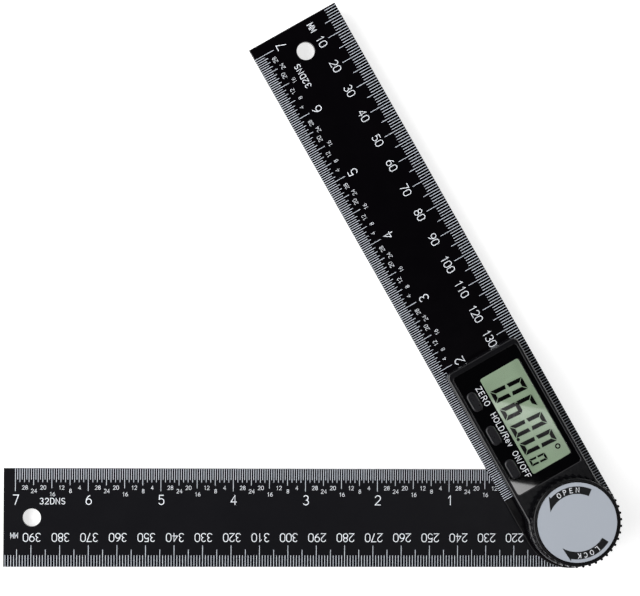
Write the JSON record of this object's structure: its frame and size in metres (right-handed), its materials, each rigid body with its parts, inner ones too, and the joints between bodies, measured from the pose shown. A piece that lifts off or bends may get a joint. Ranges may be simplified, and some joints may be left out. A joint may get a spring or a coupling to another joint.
{
  "type": "digital angle finder",
  "caption": "Digital angle finder ruler: flat arms with millimetre and inch scales turn on a hub, with a display case on the upper arm and a locking knob on the pivot.",
  "frame": {"origin": "on the pivot's axis, at the flat back face of the hub's flange", "axes": "+Z is the way the display faces, -X runs along the lower arm from the pivot to its tip, and +Y lies on the side where the upper arm stands at rest"},
  "size_m": [0.2166, 0.1985, 0.021],
  "materials": {
    "blade_black": "satin black with white print",
    "case_black": "fine spark-eroded texture",
    "lens_black": "polished",
    "lcd_glass": "satin grey-green",
    "key_black": "smooth rubber",
    "knob_black": "satin",
    "label_grey": "fine satin",
    "hub_steel": "turned",
    "screw_steel": "plated",
    "cell_steel": "bright",
    "brass": "turned",
    "nylon_white": "smooth",
    "board_green": "solder mask",
    "chip_black": "moulded epoxy",
    "zebra_pink": "soft"
  },
  "bodies": {
    "lower_arm": {"lower_blade": "blade_black", "pivot_hub": "hub_steel", "hub_screws": "screw_steel", "spacer_washer": "nylon_white", "encoder_rotor": "board_green"},
    "upper_arm": {"upper_blade": "blade_black", "pivot_bush": "brass", "housing": "case_black", "display_lens": "lens_black", "lcd_panel": "lcd_glass", "lcd_holder": "nylon_white", "zebra_strip": "zebra_pink", "main_board": "board_green", "controller_chip": "chip_black", "dome_switches": "screw_steel", "battery_cell": "cell_steel", "positive_contact": "cell_steel", "negative_contact": "cell_steel", "board_screws": "screw_steel", "housing_screws": "screw_steel"},
    "battery_cover": {"battery_cover": "blade_black"},
    "zero_button": {"zero_button": "key_black"},
    "hold_button": {"hold_button": "key_black"},
    "power_button": {"power_button": "key_black"},
    "clamp_washer": {"clamp_washer": "hub_steel"},
    "lock_knob": {"knob_body": "knob_black", "knob_label": "label_grey", "knob_nut": "brass"}
  },
  "joints": [
    {"name": "arm_swing", "type": "hinge", "parent": "lower_arm", "child": "upper_arm", "pos_m": [0, 0, 0.00475], "axis": [0, 0, 1], "continuous": true},
    {"name": "knob_lift", "type": "slide", "parent": "lower_arm", "child": "clamp_washer", "axis": [0, 0, 1], "range_m": [0, 0.0004]},
    {"name": "knob_turn", "type": "hinge", "parent": "clamp_washer", "child": "lock_knob", "pos_m": [0, 0, 0.0175], "axis": [0, 0, 1], "range_deg": [0, 180]},
    {"name": "zero_press", "type": "slide", "parent": "upper_arm", "child": "zero_button", "axis": [0, 0, -1], "range_m": [0, 0.0004], "stiffness_N_per_m": 600},
    {"name": "hold_press", "type": "slide", "parent": "upper_arm", "child": "hold_button", "axis": [0, 0, -1], "range_m": [0, 0.0004], "stiffness_N_per_m": 600},
    {"name": "power_press", "type": "slide", "parent": "upper_arm", "child": "power_button", "axis": [0, 0, -1], "range_m": [0, 0.0004], "stiffness_N_per_m": 600},
    {"name": "cover_turn", "type": "hinge", "parent": "upper_arm", "child": "battery_cover", "pos_m": [-0.0235, 0.0407, 0.0037], "axis": [0, 0, -1], "range_deg": [0, 45]}
  ],
  "couplings": [
    {"joint": "knob_turn", "follows": "knob_lift", "rad_per_m": 7850}
  ]
}
